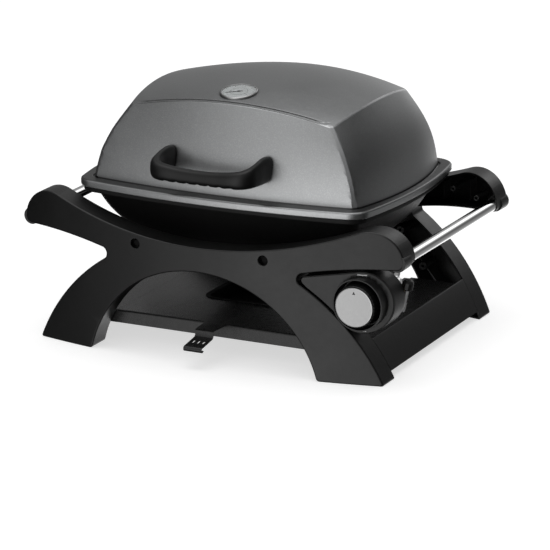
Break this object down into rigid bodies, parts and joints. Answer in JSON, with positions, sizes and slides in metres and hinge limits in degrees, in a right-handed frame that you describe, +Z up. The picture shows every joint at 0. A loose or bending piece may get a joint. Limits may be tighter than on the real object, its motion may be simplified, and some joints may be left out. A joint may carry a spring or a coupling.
{
  "type": "portable gas grill",
  "caption": "Portable tabletop gas grill: a hinged lid over a cast bowl held by two arched moulded frames, with a turning control knob and a slide-out drip tray.",
  "frame": {"origin": "centre of the bounding box on the ground plane, at the bottom of the feet", "axes": "+X to the right seen from the front, along the width across the arms; +Y to the back, where the lid's hinges are; +Z up"},
  "size_m": [0.614, 0.4875, 0.3914],
  "materials": {
    "black_moulding": "black moulded nylon, satin, with a fine grain",
    "grey_enamel": "grey satin enamel over a casting",
    "black_casting": "black enamel over a casting",
    "chrome": "polished chrome",
    "brushed_steel": "brushed steel",
    "tray_steel": "dark grey semi-gloss paint on sheet steel",
    "cast_iron": "black enamelled cast iron",
    "brass": "machined brass",
    "dial_face": "light grey printed metal",
    "needle": "black painted metal",
    "ceramic": "white glazed ceramic",
    "lens": "clear glass"
  },
  "bodies": {
    "base": {"bowl": "black_casting", "bowl_cradle_left": "black_casting", "bowl_cradle_right": "black_casting", "burner": "brushed_steel", "carrying_bar_left": "chrome", "carrying_bar_right": "chrome", "control_fascia": "black_moulding", "control_housing": "black_moulding", "cooking_grate_left": "cast_iron", "cooking_grate_right": "cast_iron", "frame_bolt_front_left": "brushed_steel", "frame_bolt_front_right": "brushed_steel", "frame_bolt_rear_left": "brushed_steel", "frame_bolt_rear_right": "brushed_steel", "frame_nut_front_left": "brushed_steel", "frame_nut_front_right": "brushed_steel", "frame_nut_rear_left": "brushed_steel", "frame_nut_rear_right": "brushed_steel", "front_frame": "black_moulding", "gas_inlet": "chrome", "gas_valve": "brass", "hinge_bracket_left": "black_casting", "hinge_bracket_right": "black_casting", "hinge_pin_left": "brushed_steel", "hinge_pin_right": "brushed_steel", "igniter_electrode": "ceramic", "inlet_elbow": "black_moulding", "inlet_tail": "chrome", "rear_frame": "black_moulding", "side_panel_left": "black_moulding", "side_panel_right": "black_moulding", "tray_shelf_left": "tray_steel", "tray_shelf_right": "tray_steel"},
    "lid": {"lid_shell": "grey_enamel", "lid_handle": "black_moulding", "gauge_bezel": "brushed_steel", "gauge_dial": "dial_face", "gauge_lens": "lens", "gauge_probe": "brushed_steel", "gauge_nut": "brushed_steel", "lid_handle_screw_left": "brushed_steel", "lid_handle_screw_right": "brushed_steel", "hinge_leaf_left": "black_casting", "hinge_leaf_right": "black_casting"},
    "needle": {"gauge_needle": "needle"},
    "stem": {"valve_stem": "brushed_steel"},
    "knob": {"knob_body": "black_moulding", "knob_cap": "brushed_steel"},
    "tray": {"slide_tray": "tray_steel", "drip_pan": "brushed_steel"}
  },
  "joints": [
    {"name": "lid_hinge", "type": "hinge", "parent": "base", "child": "lid", "pos_m": [0, 0.20915, 0.2318], "axis": [-1, 0, 0], "range_deg": [0, 100]},
    {"name": "gauge_needle_turn", "type": "hinge", "parent": "lid", "child": "needle", "pos_m": [0, -0.08985, 0.38131], "axis": [0, 0.1595, -0.9872], "range_deg": [0, 240], "stiffness_Nm_per_rad": 0.0001},
    {"name": "knob_press", "type": "slide", "parent": "base", "child": "stem", "axis": [0, 1, 0], "range_m": [0, 0.004], "stiffness_N_per_m": 1500},
    {"name": "knob_turn", "type": "hinge", "parent": "stem", "child": "knob", "pos_m": [0.2475, -0.18785, 0.123], "axis": [0, -1, 0], "range_deg": [0, 180]},
    {"name": "tray_slide", "type": "slide", "parent": "base", "child": "tray", "axis": [0, -1, 0], "range_m": [0, 0.25]}
  ]
}
